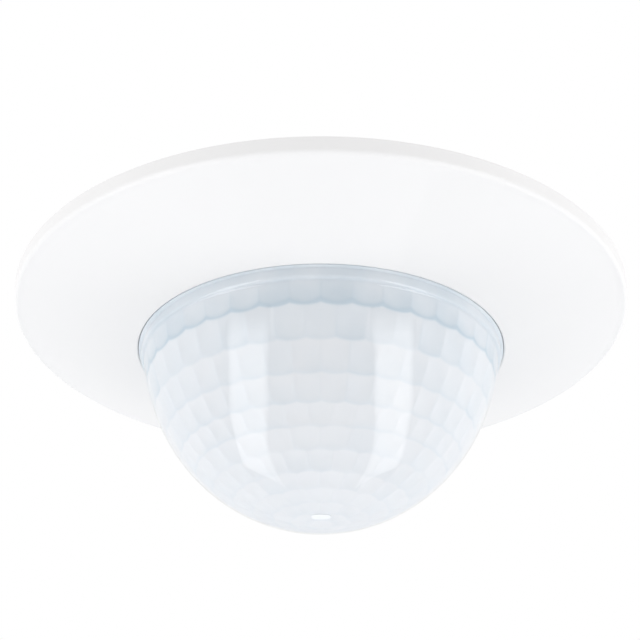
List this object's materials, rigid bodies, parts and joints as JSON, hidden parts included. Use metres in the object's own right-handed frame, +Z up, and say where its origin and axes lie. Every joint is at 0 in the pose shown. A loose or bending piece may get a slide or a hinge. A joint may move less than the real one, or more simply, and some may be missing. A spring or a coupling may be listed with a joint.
{
  "type": "recessed motion sensor",
  "caption": "Flush ceiling motion sensor: conical cover ring, milky faceted lens dome, round body with spring clips and a hinged terminal cover.",
  "frame": {"origin": "centre of the cover ring's back rim, in the plane of the ceiling's underside", "axes": "+Z up into the ceiling void along the body axis, the lens dome hangs along -Z, the spring clips lie along X, the terminal cover is on the +Y side"},
  "size_m": [0.0986, 0.0986, 0.0733],
  "materials": {
    "cover_white": "satin moulded",
    "lens_milky": "milky, smooth outside, faceted inside",
    "chassis_white": "fine moulded texture",
    "mask_white": "fine moulded texture",
    "housing_grey": "fine moulded texture",
    "white_plastic": "moulded",
    "blue_plastic": "moulded",
    "black_plastic": "moulded",
    "terminal_grey": "moulded",
    "clear_plastic": "clear moulded",
    "led_red": "tinted clear epoxy",
    "led_green": "tinted clear epoxy",
    "relay_blue": "moulded",
    "capacitor_yellow": "moulded",
    "rubber_grey": "matt",
    "circuit_board": "solder resist",
    "ferrite": "sintered",
    "nickel_can": "nickel plated",
    "infrared_window": "coated silicon",
    "aluminium_can": "drawn can",
    "steel": "zinc plated",
    "spring_steel": "bright spring steel",
    "brass": "stamped"
  },
  "bodies": {
    "housing": {"board_header": "black_plastic", "board_socket": "black_plastic", "bulk_capacitor": "aluminium_can", "cable_clamp": "housing_grey", "cable_clamp_screws": "steel", "clip_pins": "steel", "dip_switch": "blue_plastic", "film_capacitor": "capacitor_yellow", "front_chassis": "chassis_white", "front_mask": "mask_white", "fuse": "black_plastic", "ir_receiver": "black_plastic", "light_guide": "clear_plastic", "light_sensor": "black_plastic", "lux_trimmer": "white_plastic", "mask_screws": "steel", "microcontroller": "black_plastic", "output_capacitor": "aluminium_can", "power_board": "circuit_board", "pyro_collar": "black_plastic", "pyro_sensor": "nickel_can", "pyro_window": "infrared_window", "rear_housing": "housing_grey", "relay": "relay_blue", "sensor_board": "circuit_board", "status_led_green": "led_green", "status_led_red": "led_red", "terminal_block": "terminal_grey", "terminal_cages": "brass", "terminal_cover_pin": "steel", "terminal_screws": "steel", "test_switch": "black_plastic", "time_trimmer": "white_plastic", "transformer": "ferrite", "varistor": "relay_blue"},
    "ring": {"cover_ring": "cover_white"},
    "lens": {"lens_dome": "lens_milky"},
    "arm_right": {"clip_arm_right": "spring_steel", "clip_spring_right": "spring_steel"},
    "arm_left": {"clip_arm_left": "spring_steel", "clip_spring_left": "spring_steel"},
    "lux_dial": {"lux_knob": "blue_plastic"},
    "time_dial": {"time_knob": "blue_plastic"},
    "slider_1": {"dip_slider_1": "white_plastic"},
    "slider_2": {"dip_slider_2": "white_plastic"},
    "slider_3": {"dip_slider_3": "white_plastic"},
    "slider_4": {"dip_slider_4": "white_plastic"},
    "button": {"test_button": "white_plastic"},
    "lid": {"terminal_cover": "housing_grey", "cable_grommet": "rubber_grey"}
  },
  "joints": [
    {"name": "ring_pull", "type": "slide", "parent": "housing", "child": "ring", "axis": [0, 0, -1], "range_m": [0, 0.045]},
    {"name": "lens_pull", "type": "slide", "parent": "housing", "child": "lens", "axis": [0, 0, -1], "range_m": [0, 0.04]},
    {"name": "clip_right_fold", "type": "hinge", "parent": "housing", "child": "arm_right", "pos_m": [0.0304, 0, 0.007], "axis": [0, -1, 0], "range_deg": [0, 88], "stiffness_Nm_per_rad": 0.02, "springref_deg": -45.84},
    {"name": "clip_left_fold", "type": "hinge", "parent": "housing", "child": "arm_left", "pos_m": [-0.0304, 0, 0.007], "axis": [0, 1, 0], "range_deg": [0, 88], "stiffness_Nm_per_rad": 0.02, "springref_deg": -45.84},
    {"name": "lux_turn", "type": "hinge", "parent": "housing", "child": "lux_dial", "pos_m": [-0.011, -0.009, -0.004], "axis": [0, 0, -1], "range_deg": [-135, 135]},
    {"name": "time_turn", "type": "hinge", "parent": "housing", "child": "time_dial", "pos_m": [0.011, -0.009, -0.004], "axis": [0, 0, -1], "range_deg": [-135, 135]},
    {"name": "switch_1", "type": "slide", "parent": "housing", "child": "slider_1", "axis": [0, 1, 0], "range_m": [0, 0.0016]},
    {"name": "switch_2", "type": "slide", "parent": "housing", "child": "slider_2", "axis": [0, 1, 0], "range_m": [0, 0.0016]},
    {"name": "switch_3", "type": "slide", "parent": "housing", "child": "slider_3", "axis": [0, 1, 0], "range_m": [0, 0.0016]},
    {"name": "switch_4", "type": "slide", "parent": "housing", "child": "slider_4", "axis": [0, 1, 0], "range_m": [0, 0.0016]},
    {"name": "test_press", "type": "slide", "parent": "housing", "child": "button", "axis": [0, 0, 1], "range_m": [0, 0.0003], "stiffness_N_per_m": 20, "springref_m": -0.0002},
    {"name": "lid_open", "type": "hinge", "parent": "housing", "child": "lid", "pos_m": [0, 0.006, 0.0376], "axis": [1, 0, 0], "range_deg": [0, 110]}
  ]
}
